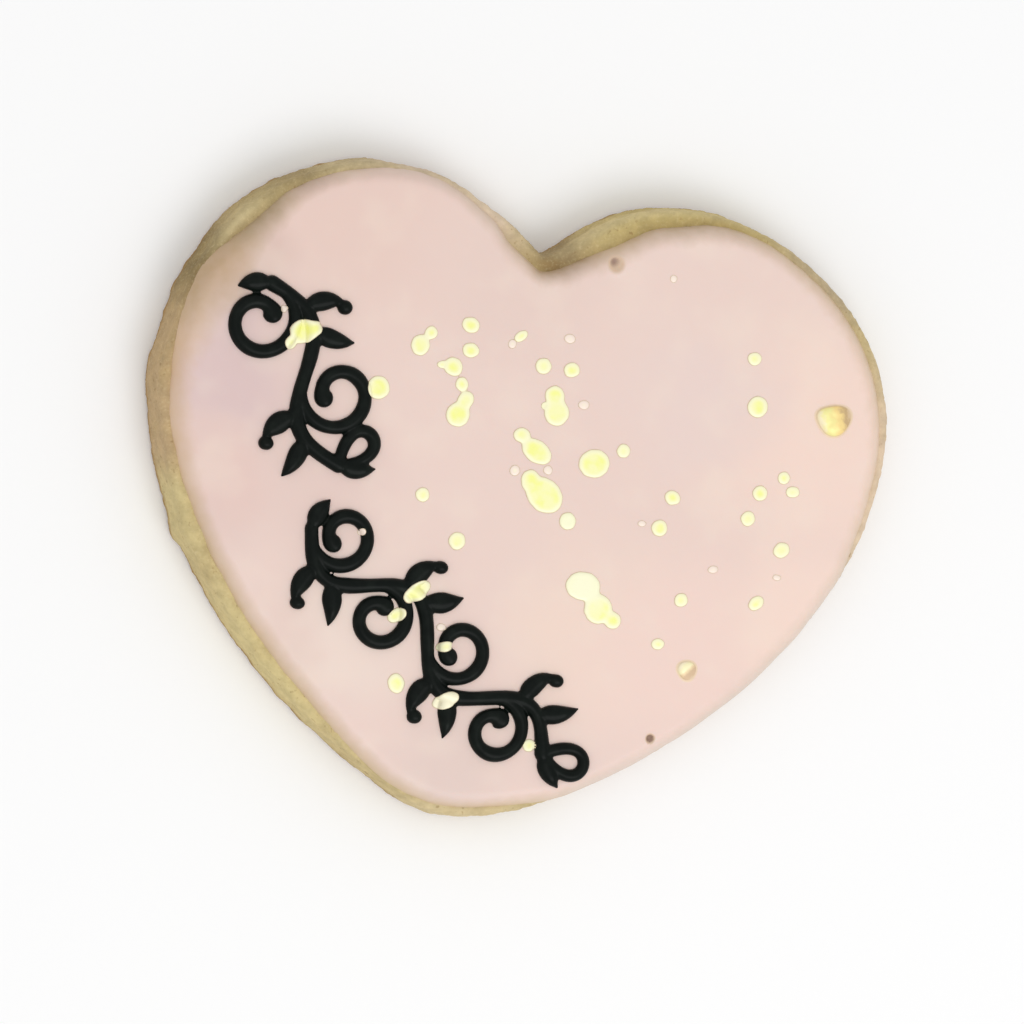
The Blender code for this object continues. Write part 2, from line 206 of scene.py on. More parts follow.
# Gold drops: x, y, radius in mm, and for a long one its length over its width and its direction in degrees
GOLD_DROPS = (
    (-30.2, 16.1, 1.5, 1.1, 20), (-28.8, 16.7, 0.9, 1.2, 40), (-31.4, 14.5, 0.73), (-19.7, 11, 1.4),
    (-15.4, 16.9, 1.2, 1.1, 90), (-14.3, 18.6, 0.75), (-9.6, 20.3, 1, 1.2, -10),
    (-9.1, 17.3, 0.95, 1.2, 0), (-10.9, 15, 1.12, 1.1, -30), (-12.4, 15, 0.5, 1.3, 10),
    (-9.5, 13.1, 0.8), (-8.7, 11.3, 1, 1.1, 60), (-9.4, 9.4, 1.45), (-3.2, 20, 0.7, 1.6, 43),
    (0.2, 16.9, 0.97), (3.8, 17, 0.93, 1.1, 10), (2.2, 13.6, 1.2), (2.8, 11.6, 1.55), (1.1, 12.2, 0.35),
    (-1.1, 8.3, 0.92, 1.2, 10), (1.1, 6.6, 1.65, 1.5, -24), (0.85, 3.1, 1.15, 1.15, 90),
    (2.95, 1.55, 2.2, 1.25, -30), (8.5, 6.3, 1.82, 1.12, 15), (11.9, 8.4, 0.82), (6.4, -1.1, 1.02),
    (-12.1, -0.8, 0.85), (-6.9, -5.6, 1.05), (26.4, 22.1, 0.82, 1.1, 10), (27.8, 16.4, 1.28),
    (32.6, 8.4, 0.75), (29.9, 6.1, 0.92), (34, 6.9, 0.75, 1.3, 10), (28.9, 2.8, 0.9),
    (19, 3.8, 0.92, 1.15, -10), (18, -0.1, 1), (33.8, -0.3, 0.98, 1.15, 30),
    (9.6, -8.5, 1.9, 1.28, 5), (12, -11, 1.75), (14.1, -12.1, 1), (22.2, -8.3, 0.82),
    (31.7, -7.2, 0.9, 1.3, 45), (20.2, -14, 0.75, 1.2, 15), (-10.9, -12.4, 1.4, 1.9, 40),
    (-12.9, -15.6, 0.95, 1.4, 35), (-11.5, -23.7, 1.1, 1.15, 110), (-5.2, -24.8, 1.2, 1.8, 32),
    (-6.4, -18.4, 0.75, 1.7, 22), (6.2, -28.6, 0.75),
)
PALE_DROPS = (
    (-32.8, 18.4, 0.42), (-4.1, 18.9, 0.5), (2.9, 20.7, 0.6, 1.3, 0), (6, 13.1, 0.58, 1.3, 0),
    (-1.2, 3.9, 0.62), (2.9, 4.6, 0.55), (14.6, 30, 0.42), (15.7, 0.1, 0.42, 1.5, 10),
    (25.6, -4, 0.52, 1.4, 10), (33.8, -3.7, 0.4, 1.5, 0), (-7.1, -16.2, 0.5, 1.3, 0),
    (-18.9, -6.4, 0.4),
)
# Pools of paint, in mm: they are found as sums of bumps, one for each drop
POOL_STEP = 0.13
POOL_REACH = 1.35
POOL_EDGE_PASSES = 4
POOL_PROBE = 0.01
POOL_LEAST_SLOPE = 0.05
POOLING = 2.6
POOL_HEIGHT = 0.18
POOL_LEAST_SIZE = 0.35
POOL_FULL_SIZE = 1.0
POOL_SKIRT = 0.25
POOL_SHOULDER = 0.45
POOL_SPREAD = 0.05
POOL_WARP = (0.8, 0.07)
POOL_SEED = 3
POOL_DEEP = 2.0

# Lumps of gilded sugar, in mm: longer and sloping down on the side with painted shade, three-cornered by a
# share of their radius, drawn out to one point, flat on top where the flatness is high, in a thin ring of
# paint.
# Their colours run from a painted highlight on the bright side through gold to painted shade on the far side,
# each after the first over its band.
NUGGET = {
    "name": "gold_nugget",
    "at": (37.8, 16.4),
    "radius": 1.98,
    "stretch": 1.15,
    "height": 0.7,
    "corners": 0.06,
    "first_corner": 42,
    "point": 0.14,
    "point_at": 162,
    "shaded_side": 24,
    "slope": 1.0,
    "flatness": 4,
    "rough": 0.12,
    "bands": ((0.06, 0.22), (0.3, 0.6), (0.62, 0.84), (0.9, 1.0)),
    "colours": ((255, 243, 203), (251, 243, 164), (253, 224, 150), (206, 176, 130), (222, 195, 158)),
}
BEAD = {
    "name": "gold_bead",
    "at": (24.4, -16.6),
    "radius": 1.12,
    "stretch": 1.05,
    "height": 0.45,
    "corners": 0.05,
    "first_corner": 45,
    "point": 0.0,
    "point_at": 0,
    "shaded_side": -38,
    "slope": 1.4,
    "flatness": 3.5,
    "rough": 0.05,
    "bands": ((0.05, 0.25), (0.34, 0.56), (0.5, 0.74), (0.9, 1.0)),
    "colours": ((255, 244, 212), (255, 247, 200), (240, 214, 172), (220, 190, 156), (228, 202, 174)),
}
POINT_HALF_ANGLE = math.radians(24)
DOME_RINGS = 14
SPOKES = 48
NUGGET_ROUGH_SIZE = 0.9
NUGGET_ROUGH_FADE = 4
NUGGET_SLOPE_FROM = 1.05
NUGGET_LEAST = 0.1
PAINT_RING = 0.45
PAINT_RING_FROM = 0.94
PAINT_RING_STEPS = 4
PAINT_RING_HEIGHT = 0.02
NUGGET_SKIRT = 0.2

# Colours as the photograph shows them, 0 to 255
DOUGH = (203, 183, 134)
DOUGH_DEEP = (188, 164, 112)
DOUGH_LIGHT = (217, 200, 158)
DOUGH_SPECK = (146, 114, 68)
DOUGH_BROWNED = (166, 130, 78)
# Colours of the painted highlight on the rim's crest and of the painted shade in its nook below the icing
DOUGH_CREST_HIGHLIGHT = (222, 205, 158)
DOUGH_NOOK_SHADE = (140, 112, 66)
# Speckles laid over a colour: size in mm, detail, low and high of the noise, strength, colour
DOUGH_SPECKLES = (
    (4.0, 3.0, 0.42, 0.72, 0.3, DOUGH_DEEP),
    (0.35, 3.0, 0.5, 0.75, 0.28, DOUGH_LIGHT),
    (0.6, 3.0, 0.62, 0.74, 0.55, DOUGH_SPECK),
)
# What its vertices keep, a painted highlight and a painted shade: name, strength, colour
DOUGH_PAINT = (("crest_highlight", 0.6, DOUGH_CREST_HIGHLIGHT), ("nook_shade", 0.45, DOUGH_NOOK_SHADE))
# Mottled light: size in mm, low and high of the noise, least and most light
DOUGH_MOTTLE = (1.4, 0.3, 0.7, 0.89, 1.1)
BROWNED_FROM = 1.6
BROWNED_TO = 0.1
# Bumps of the shading: size in mm, detail, strength, depth in mm
DOUGH_BUMPS = (0.4, 5.0, 0.8, 0.2)
ICING_BUMPS = (0.6, 3.0, 0.08, 0.05)
PIPING_BUMPS = (0.5, 2.0, 0.15, 0.05)
GOLD_BUMPS = (0.3, 3.0, 0.25, 0.04)
NUGGET_BUMPS = (0.25, 3.0, 0.4, 0.05)
# Patches of colour are even over this share of their reach
PATCH_CORE = 0.2
# Uneven baking, with painted shade in the dark patches on the upper left and round the notch: x, y, reach in
# mm, colour
BAKING_AND_SHADE = (
    (-46, 14, 24, (188, 160, 119)),
    (-46, 1, 10, (192, 164, 124)),
    (-42, -9, 10, (208, 190, 138)),
    (-45, 24, 10, (138, 118, 78)),
    (-38, 33, 9, (178, 158, 112)),
    (-33.5, 37, 6, (158, 138, 99)),
    (16, 39, 22, (192, 172, 113)),
    (-26, 40, 8, (190, 172, 136)),
    (-17, 39, 9, (208, 187, 165)),
    (-9, 36, 10, (218, 196, 172)),
    (34, 33, 10, (189, 170, 138)),
    (46, 10, 20, (224, 200, 172)),
    (40, -8, 15, (226, 206, 188)),
    (32, -18, 13, (228, 208, 190)),
    (22, -28, 18, (228, 208, 192)),
    (0, -40, 11, (214, 195, 153)),
    (-28, -25, 18, (214, 196, 142)),
    (0, 31, 6, (160, 138, 99)),
    (-0.8, 28.9, 2, (136, 110, 72)),
)
BAKING_AND_SHADE_DRIFT = (5.0, 3.0)
ICING_PINK = (236, 211, 201)
# Soft patches of the icing's colour, partly its marbling and partly painted light, lighter on the right and
# darker on the left: x, y, reach in mm, colour
MARBLING_AND_LIGHT = (
    (-40, 10, 15, (222, 196, 193)),
    (-26, 31, 20, (233, 205, 194)),
    (-4, 28, 16, (233, 208, 198)),
    (-26, -2, 14, (231, 205, 196)),
    (-18, -18, 12, (238, 217, 206)),
    (-28, -23, 9, (231, 206, 195)),
    (-41, -6, 12, (228, 202, 193)),
    (-35.5, -2, 8, (231, 202, 193)),
    (-38.5, 24, 8, (219, 190, 179)),
    (-3, -36, 13, (229, 206, 197)),
    (12, -14, 16, (241, 216, 202)),
    (38, 14, 22, (244, 217, 204)),
    (24, -16, 18, (242, 214, 203)),
    (37, -8, 12, (245, 218, 205)),
    (20, 16, 13, (235, 212, 204)),
)
MARBLING_AND_LIGHT_DRIFT = (11.0, 12.0)
ICING_CREAM = (243, 225, 210)
ICING_SPECKLES = ((7.0, 2.0, 0.45, 0.75, 0.3, ICING_CREAM),)
RIM_TAN = (208, 182, 148)
# Where the icing's thin edge differs, with painted shade in the darker patches on the upper left and by the
# notch: x, y, reach in mm, colour
RIM_TONES_AND_SHADE = (
    (-45, 2, 14, (216, 186, 154)),
    (-46, 12, 9, (214, 182, 148)),
    (-43, 22, 10, (190, 161, 126)),
    (-38, 30, 8, (175, 152, 119)),
    (-32, 35, 6, (182, 156, 132)),
    (-20, 38, 14, (213, 189, 172)),
    (-8, 34, 9, (213, 190, 168)),
    (1, 30, 7, (174, 148, 116)),
    (16, 37, 14, (192, 168, 138)),
    (42, 10, 20, (219, 193, 166)),
    (38, -8, 14, (216, 197, 180)),
    (32, -18, 12, (216, 197, 181)),
    (20, -28, 18, (219, 199, 184)),
)
RIM_DRIFT = (5.0, 3.0)
THIN_FROM = 0.06
# Noise that makes an edge ragged: its low and high, and what it adds
RAGGED_NOISE = (0.3, 0.7)
RAGGED = 0.06
RIM_RAGGED_SIZE = 1.6
BANDS_RAGGED_SIZE = 0.8
# A pit's tan stain, and the painted shade inside it
PIT_TAN = (218, 190, 164)
PIT_PAINTED_SHADE = (160, 132, 116)
PIPING_BLACK = (9, 15, 12)
PIPING_GREY = (18, 24, 20)
PIPING_SPECKLES = ((1.5, 3.0, 0.4, 0.75, 1.0, PIPING_GREY),)
GOLD_YELLOW = (249, 250, 154)
GOLD_CREAM = (253, 250, 210)
# Pools of paler gold: x, y, reach in mm, colour
PALER_GOLD = (
    (9.6, -8.5, 4.5, (252, 250, 216)),
    (-5.2, -24.8, 3.5, (252, 246, 214)),
    (6.4, -1.1, 2, (251, 250, 214)),
)
GOLD_DRIFT = (1.5, 0.6)
# Where gold turns rich, by depth and by cloud, and how near its edge it turns to a tan rim of thin paint and
# painted shade
GOLD_RICH = (0.08, 0.46)
GOLD_CLOUDS = (2.2, 2.0, 0.4, 0.62, 0.45, 1.0)
GOLD_EDGE_FROM = 0.07
PALE_GOLD = (249, 231, 218)
GOLD_EDGE_AND_SHADE = (222, 202, 168)
# The ring of paint round a lump: tan from thin paint and painted shade, then the icing's pink
PAINT_RING_TAN_AND_SHADE = (234, 209, 178)
PAINT_RING_PINK = (243, 216, 203)
PAINT_RING_BANDS = ((0.0, 0.35), (0.3, 0.9))
NUGGET_FLECKS = (0.5, 3.0, 0.55, 0.8, 0.3)

# The photograph's view: leaning to the heart's left, turned a little, from far off
CAMERA_TILT = math.radians(16)
CAMERA_TURN = 0.171
CAMERA_DISTANCE = 900.0
PIXELS_PER_MM = 8.211
PICTURE_SIDE = 1024
AIM_RIGHT = 1.50
AIM_DOWN = 1.35
SENSOR = 36.0
CLIP_START = 0.05

# The floor and the light, in metres and watts
FLOOR_SIZE = 4.0
FLOOR_LEVEL = -0.0001
FLOOR_COLOUR = (0.98, 0.98, 0.98, 1.0)
SKY_COLOUR = (1.0, 1.0, 1.0, 1.0)
SKY_STRENGTH = 0.73
LIGHTS = (
    ("key", (0.3, -0.45, 0.85), 0.6, 2.8),
    ("fill", (-0.3, 0.3, 0.95), 0.9, 0.8),
)


def srgb(colour):
    """A colour as seen in the photograph in the shader's linear light."""
    return tuple(((c / 255 + 0.055) / 1.055) ** 2.4 if c > 10 else c / 255 / 12.92 for c in colour) + (1.0,)


def heading_vector(heading):
    return np.array((math.cos(heading), math.sin(heading)))


def cubic(p0, p1, p2, p3, t):
    s = 1 - t
    return p0 * s**3 + 3 * p1 * s * s * t + 3 * p2 * s * t * t + p3 * t**3


def evenly(points, count):
    """Points spaced evenly along a closed loop, the first of them kept."""
    closed = np.vstack([points, points[:1]])
    walked = np.concatenate([[0], np.cumsum(np.hypot(*np.diff(closed, axis=0).T))])
    at = np.arange(count) / count * walked[-1]
    return np.column_stack([np.interp(at, walked, closed[:, 0]), np.interp(at, walked, closed[:, 1])])


def heart_outline(count):
    """The smooth heart in mm, clockwise from the notch."""
    t = np.linspace(0, 1, SAMPLES_PER_ARC, endpoint=False)[:, None]
    knots = [np.array(knot) for knot in HEART_KNOTS]
    arcs = [cubic(a[0], a[0] + a[2], b[0] + b[1], b[0], t) for a, b in zip(knots, knots[1:] + knots[:1])]
    return evenly(np.vstack(arcs), count)


def softened(points, passes):
    for _ in range(passes):
        points = (np.roll(points, 1, axis=0) + 2 * points + np.roll(points, -1, axis=0)) / 4
    return points


def outward_normals(points):
    along = np.roll(points, -1, axis=0) - np.roll(points, 1, axis=0)
    normals = np.column_stack([-along[:, 1], along[:, 0]])
    return normals / np.hypot(*normals.T)[:, None]


def lumpy(points):
    """The loop with the lumps and flats of its hand-cut edge."""
    length = np.hypot(*(np.roll(points, -1, axis=0) - points).T).sum()
    place = np.arange(len(points)) / len(points)
    height = np.zeros(len(points))
    for centre, lump, half in EDGE_LUMPS:
        height += lump * np.exp(-(((place - centre) * length / half) ** 2))
    return points + outward_normals(points) * height[:, None]


def box_middle(points):
    return (points.max(axis=0) + points.min(axis=0)) / 2


def eased(stops, places):
    """A value at each part of the way round, eased between the listed places."""
    stops = np.array(stops + ((1.0, stops[0][1]),))
    k = np.clip(np.searchsorted(stops[:, 0], places, side="right") - 1, 0, len(stops) - 2)
    t = (places - stops[k, 0]) / (stops[k + 1, 0] - stops[k, 0])
    return stops[k, 1] + (stops[k + 1, 1] - stops[k, 1]) * (1 - np.cos(np.pi * t)) / 2


MIDDLE = box_middle(lumpy(heart_outline(CAD_OUTLINE_POINTS)))


def new_object(name, vertices, faces):
    """A mesh object from points in mm of the heart's own frame, moved to the CAD's frame in metres."""
    points = (np.asarray(vertices) - np.array([MIDDLE[0], MIDDLE[1], 0.0])) * MM
    mesh = bpy.data.meshes.new(name)
    mesh.from_pydata(points.tolist(), [], faces)
    mesh.update()
    obj = bpy.data.objects.new(name, mesh)
    bpy.context.scene.collection.objects.link(obj)
    mesh.shade_smooth()
    return obj


def paint(obj, name, values):
    """Keeps a number for each vertex, which the material reads."""
    attribute = obj.data.attributes.new(name, "FLOAT", "POINT")
    attribute.data.foreach_set("value", np.asarray(values, dtype=float))


def bands(rings, count, first=0):
    """Quads between rings of equally many points, facing out where the rings run anticlockwise and rise."""
    faces = []
    for r in range(rings - 1):
        low = first + r * count
        for k in range(count):
            after = (k + 1) % count
            faces.append((low + k, low + after, low + count + after, low + count + k))
    return faces


def ring_at(points, z):
    """The clockwise loop as anticlockwise points in space."""
    return np.column_stack([points, np.broadcast_to(z, len(points))])[::-1]


def wander(points, seed, size, height):
    """A smooth random amount for each point of a plane loop."""
    lift = Vector((0, 0, 3.7 * seed))
    return np.array([noise.noise(Vector((x, y, 0)) / size + lift) * height for x, y in points])


def inside(points, loop):
    """Which points lie inside a closed loop."""
    x, y = points[:, 0], points[:, 1]
    odd = np.zeros(len(points), dtype=bool)
    for (ax, ay), (bx, by) in zip(loop, np.roll(loop, -1, axis=0)):
        spans = (ay > y) != (by > y)
        if spans.any():
            odd[spans] ^= x[spans] < (bx - ax) * (y[spans] - ay) / (by - ay) + ax
    return odd


def rosette(x, y, reach):
    """Points in close rings round a pit."""
    spots = [(x, y)]
    for r in np.linspace(reach / PIT_RINGS, reach, PIT_RINGS):
        count = max(PIT_LEAST_POINTS, int(2 * math.pi * r / PIT_STEP))
        for k in range(count):
            turn = 2 * math.pi * (k + PIT_TWIST * r) / count
            spots.append((x + r * math.cos(turn), y + r * math.sin(turn)))
    return np.array(spots)


def fill(loop, step, pits=()):
    """A triangulated sheet inside a clockwise loop: its points, the loop's first, and its faces."""
    low, high = loop.min(axis=0), loop.max(axis=0)
    rows = []
    for k, y in enumerate(np.arange(low[1], high[1], step * SHEET_ROW)):
        xs = np.arange(low[0] + (k % 2) * step / 2, high[0], step)
        rows.append(np.column_stack([xs, np.full(len(xs), y)]))
    grid = np.vstack(rows)
    grid += np.random.default_rng(SHEET_SEED).uniform(-SHEET_JITTER, SHEET_JITTER, grid.shape) * step
    grid = grid[inside(grid, loop - outward_normals(loop) * step * SHEET_GAP)]
    for x, y, reach in pits:
        grid = grid[np.hypot(grid[:, 0] - x, grid[:, 1] - y) > reach]
    points = np.vstack([loop, grid] + [rosette(*pit) for pit in pits])
    edges = [(k, (k + 1) % len(loop)) for k in range(len(loop))]
    made = geometry.delaunay_2d_cdt([Vector(p) for p in points], edges, [], 1, 1e-6)
    return np.array([tuple(v) for v in made[0]]), [tuple(face) for face in made[2]]


def joined(sheet_faces, last, wall_points):
    """A sheet's faces, numbered after a wall's. Its loop is a ring of the wall, which runs the other way."""
    shift = wall_points - ROUND
    return [tuple(last - v if v < ROUND else shift + v for v in face) for face in sheet_faces]


def crumb(point):
    """The dough's relief in mm at a point in mm: lumps, grains and a few open pits."""
    spot = Vector(point)
    size, height = CRUMB_COARSE
    relief = height * noise.fractal(spot / size, 1.0, 2.0, 2)
    size, height = CRUMB_FINE
    relief += height * noise.fractal(spot / size, 0.8, 2.1, 3)
    size, reach, depth = CRUMB_PITS
    nearest = noise.voronoi(spot / size)[0][0]
    if nearest < reach:
        patch, more = CRUMB_PATCHES
        relief -= depth * (1 - nearest / reach) ** 1.5 * max(0.0, noise.noise(spot / patch) + more)
    return relief


def displace(obj, amounts):
    """Moves each vertex along its normal by an amount in mm."""
    mesh = obj.data
    places = np.empty(len(mesh.vertices) * 3)
    normals = np.empty(len(mesh.vertices) * 3)
    mesh.vertices.foreach_get("co", places)
    mesh.vertices.foreach_get("normal", normals)
    places += (normals.reshape(-1, 3) * np.asarray(amounts)[:, None] * MM).ravel()
    mesh.vertices.foreach_set("co", places)
    mesh.update()


def biscuit_top(inset_mm):
    """The height of the biscuit's upper surface this far in from its outline."""
    across = np.clip((inset_mm - WALL_LEAN) / TOP_EDGE, 0, 1)
    return BISCUIT_THICK - TOP_EDGE + TOP_EDGE * np.sqrt(1 - (1 - across) ** 2)


def wall_profile():
    """Inset and height in mm up the biscuit's side and in over its rim."""
    quarter = np.linspace(0, math.pi / 2, EDGE_STEPS)
    steps = [(BOTTOM_EDGE * (1 - math.sin(a)), BOTTOM_EDGE * (1 - math.cos(a))) for a in quarter[::2]]
    straight_top = BISCUIT_THICK - TOP_EDGE
    for z in np.arange(BOTTOM_EDGE + WALL_STEP, straight_top, WALL_STEP):
        steps.append((WALL_LEAN * max(0.0, 2 * z / straight_top - 1), z))
    for a in quarter:
        steps.append((WALL_LEAN + TOP_EDGE * (1 - math.cos(a)), straight_top + TOP_EDGE * math.sin(a)))
    for width in np.arange(WALL_LEAN + TOP_EDGE + RIM_STEP, RIM_WIDTH, RIM_STEP):
        steps.append((width, BISCUIT_THICK))
    return steps


def biscuit_shape():
    """The dough before its crumb: its vertices, its faces, and the profile of its walls and rim."""
    outline = softened(lumpy(heart_outline(ROUND)), NOTCH_SOFTENING)
    normals = outward_normals(outline)
    profile = wall_profile()
    wall = np.vstack([ring_at(outline - normals * width, z) for width, z in profile])
    under, under_faces = fill(outline - normals * profile[0][0], UNDERSIDE_STEP)
    faces = bands(len(profile), ROUND)
    faces.append(tuple(range(len(wall) - ROUND, len(wall))))
    faces += joined([face[::-1] for face in under_faces], ROUND - 1, len(wall))
    flat = np.column_stack([under[ROUND:], np.zeros(len(under) - ROUND)])
    return np.vstack([wall, flat]), faces, profile


def make_biscuit():
    """The dough: crumbed walls and rim, a plain top where the icing hides it, and a dented underside."""
    vertices, faces, profile = biscuit_shape()
    obj = new_object("biscuit_dough", vertices, faces)
    relief, crest_highlight, nook_shade = np.zeros((3, len(vertices)))
    places = np.arange(ROUND)[::-1] / ROUND
    crests, insets = eased(CRESTS, places), eased(CREST_INSETS, places)
    nook_shades, margins = eased(NOOK_SHADES, places), eased(ICING_MARGINS, places)
    for k, (width, z) in enumerate(profile[:-2]):
        ring = range(k * ROUND, (k + 1) * ROUND)
        covered = np.clip((z - biscuit_top(margins)) / COVERED_FADE, 0, 1)
        relief[ring] = np.array([crumb(vertices[v]) for v in ring]) * (1 - covered) - COVERED_SUNK * covered
        on_top = np.clip(z - BISCUIT_THICK / 2, 0, 1)
        # Painted highlight along the outer crest of the rim
        crest_highlight[ring] = crests * np.exp(-(((width - insets) / CREST_HALF) ** 2)) * on_top
        # Painted shade in the corner of the rim below the icing
        nook_shade[ring] = nook_shades * np.exp(-(((width - margins) / NOOK_SHADE_REACH) ** 2)) * on_top
    displace(obj, relief)
    paint(obj, "crest_highlight", crest_highlight)
    paint(obj, "nook_shade", nook_shade)
    # The underside only dents upwards, so that the biscuit still lies flat
    wall_points = len(profile) * ROUND
    for v, vertex in enumerate(obj.data.vertices):
        if v < wall_points:
            vertex.co.z = max(0.0, vertex.co.z)
        else:
            vertex.co.z = min(max(0.0, -2 * crumb(vertices[v])), UNDERSIDE_DENT) * MM
    return obj


def icing_edge():
    """The loop where the icing meets the dough, and the bare rim's width there."""
    heart = heart_outline(ROUND)
    places = np.arange(ROUND) / ROUND
    width = eased(ICING_MARGINS, places) + sum(wander(heart, k, *kind) for k, kind in enumerate(EDGE_WANDERS))
    mitred = width.copy()
    mitred[0] /= math.cos(NOTCH_HALF_TURN)
    edge = evenly(heart - outward_normals(heart) * mitred[:, None], ROUND)
    return softened(edge, EDGE_SOFTENING), width


def press_pits(vertices, share):
    """Presses the pits into the icing's points, and gives how much tan stain and painted shade each of them
    has.
    """
    lip, lip_half, lip_height = PIT_LIP
    shade_east, shade_north, shade_reach = PIT_SHADE
    pitted = np.zeros(len(vertices))
    for x, y, reach, depth in PITS:
        east, north = (vertices[:, 0] - x) / reach, (vertices[:, 1] - y) / reach
        away = np.hypot(east, north)
        vertices[:, 2] -= depth * np.exp(-((away / PIT_FLOOR) ** 4)) * share
        vertices[:, 2] += lip_height * np.exp(-(((away - lip) / lip_half) ** 2)) * share
        # Painted shade: all over a small pit, on one side of a large one
        shade = 1.0
        if reach > PIT_SHADED_FROM:
            from_shade = np.hypot(east - shade_east, north - shade_north) / shade_reach
            shade = np.clip(PIT_STAIN_AND_SHADE_REACH - from_shade, 0, 1)
        pitted += np.clip((PIT_STAIN_AND_SHADE_REACH - away) * 2, 0, 1) * (PIT_LIT_SHARE + (1 - PIT_LIT_SHARE) * shade)
    return np.clip(pitted, 0, 1)


def make_icing():
    """The flooded icing: a rounded edge and a nearly flat top with swells and two pits."""
    edge, width = icing_edge()
    normals = outward_normals(edge)
    foot = biscuit_top(width) - ICING_SUNK
    # The lowest ring lies tucked into the dough, so that no gap shows under the edge
    rings = [ring_at(edge - normals * ICING_TUCK, foot - ICING_TUCK)]
    for t in np.linspace(0, 1, SHOULDER_RINGS) ** SHOULDER_CROWDING:
        rise = 1 - (1 - t) ** SHOULDER_POWER
        rings.append(ring_at(edge - normals * ICING_SHOULDER * t, foot + (ICING_TOP - foot) * rise))
    side = np.vstack(rings)
    pits = [(x, y, PIT_SHEET * reach) for x, y, reach, _ in PITS]
    sheet, sheet_faces = fill(edge - normals * ICING_SHOULDER, ICING_STEP, pits)
    faces = bands(len(rings), ROUND)
    faces.append(tuple(reversed(range(ROUND))))
    faces += joined(sheet_faces, len(side) - 1, len(side))
    flat = np.column_stack([sheet[ROUND:], np.full(len(sheet) - ROUND, ICING_TOP)])
    vertices = np.vstack([side, flat])
    share = np.clip((vertices[:, 2] - BISCUIT_THICK) / (ICING_TOP - BISCUIT_THICK), 0, 1)
    for seed, (size, height) in enumerate(SWELLS):
        vertices[:, 2] += wander(vertices[:, :2], seed, size, height) * share
    pitted = press_pits(vertices, share)
    obj = new_object("icing_flood", vertices, faces)
    # The thin edge lets the dough show through, and on the upper left it lays a band of painted shade
    away, nearest = nearest_on(vertices[:, :2], edge)
    thin_edge_and_shade = np.clip(1 - away / eased(ICING_FADES, nearest), 0, 1) ** eased(FADE_POWERS, nearest)
    paint(obj, "thin_edge_and_shade", thin_edge_and_shade)
    paint(obj, "pitted", pitted)
    return obj


def nearest_on(points, loop):
    """How far each point is from a loop, and how far round it the nearest place is."""
    away = np.full(len(points), np.inf)
    nearest = np.zeros(len(points))
    for k, spot in enumerate(loop):
        from_spot = np.hypot(points[:, 0] - spot[0], points[:, 1] - spot[1])
        closer = from_spot < away
        away[closer] = from_spot[closer]
        nearest[closer] = k / len(loop)
    return away, nearest


def stem_path(start, end, half_waves, swing, first):
    """A wave along the line from start to end."""
    start, end = np.array(start), np.array(end)
    along = end - start
    length = math.hypot(*along)
    across = np.array((-along[1], along[0])) / length * swing * first
    steps = round(length * WAVE_LONGER / BEAD_STEP)
    t = np.linspace(0, 1, steps + 1)[:, None]
    return start + along * t + across * np.sin(math.pi * half_waves * t)


def place_on(path, t):
    """The point and heading at a part of the way along a path."""
    k = min(int(t * (len(path) - 1)), len(path) - 2)
    step = path[k + 1] - path[k]
    return path[k] + step * (t * (len(path) - 1) - k), math.atan2(step[1], step[0])


def walk(start, headings, step):
    moves = np.array([heading_vector(heading) * step for heading in headings])
    return np.vstack([start, start + np.cumsum(moves, axis=0)])


def curl(start, heading, side, span):
    """A tendril that winds inwards to a ball, with its half widths."""
    total = CURL_TURNS * 2 * math.pi
    headings = []
    turned = 0.0
    while turned < total:
        radius = (CURL_OUTER + (CURL_INNER - CURL_OUTER) * turned / total) * span
        turned += BEAD_STEP / radius
        headings.append(heading + side * (turned - BEAD_STEP / radius / 2))
    path = walk(start, headings, BEAD_STEP)
    from_end = (len(path) - 1 - np.arange(len(path))) * BEAD_STEP
    swell = np.exp(-((from_end / CURL_BALL_LENGTH) ** 2))
    return path, CURL_HALF_WIDTH + (CURL_BALL - CURL_HALF_WIDTH) * swell


def leaf(start, heading, length, bend):
    """A piped leaf, narrow at its root, fat past the middle and pointed, with its half widths."""
    steps = round(length / BEAD_STEP)
    path = walk(start, [heading + bend * (k + 0.5) / steps for k in range(steps)], length / steps)
    t = np.linspace(0, 1, steps + 1)
    fat = LEAF_WIDTH / 2 * np.clip(np.sin(np.pi * t**LEAF_FULLNESS), 0, 1) ** LEAF_FULLNESS
    least = LEAF_ROOT_HALF_WIDTH + (LEAF_POINT_HALF_WIDTH - LEAF_ROOT_HALF_WIDTH) * np.clip(4 * t, 0, 1)
    return path, np.maximum(fat, least)


def petal(start, heading):
    """A stroke that runs out and back round an open petal, with its half widths."""
    ahead = heading_vector(heading)
    across = np.array((-ahead[1], ahead[0]))
    turn = 2 * np.pi * (np.arange(PETAL_STEPS)[:, None] + 0.5) / PETAL_STEPS
    out = (1 - np.cos(turn)) / 2
    path = start + ahead * PETAL_LENGTH * out + across * PETAL_WIDTH / 2 * np.sin(turn) * out**0.5
    return path, np.full(PETAL_STEPS, PETAL_HALF_WIDTH)


def berry(centre):
    half = np.array((BERRY_HALF_LENGTH, 0.0))
    return np.array([centre - half, centre + half]), np.array([BERRY_RADIUS, BERRY_RADIUS])


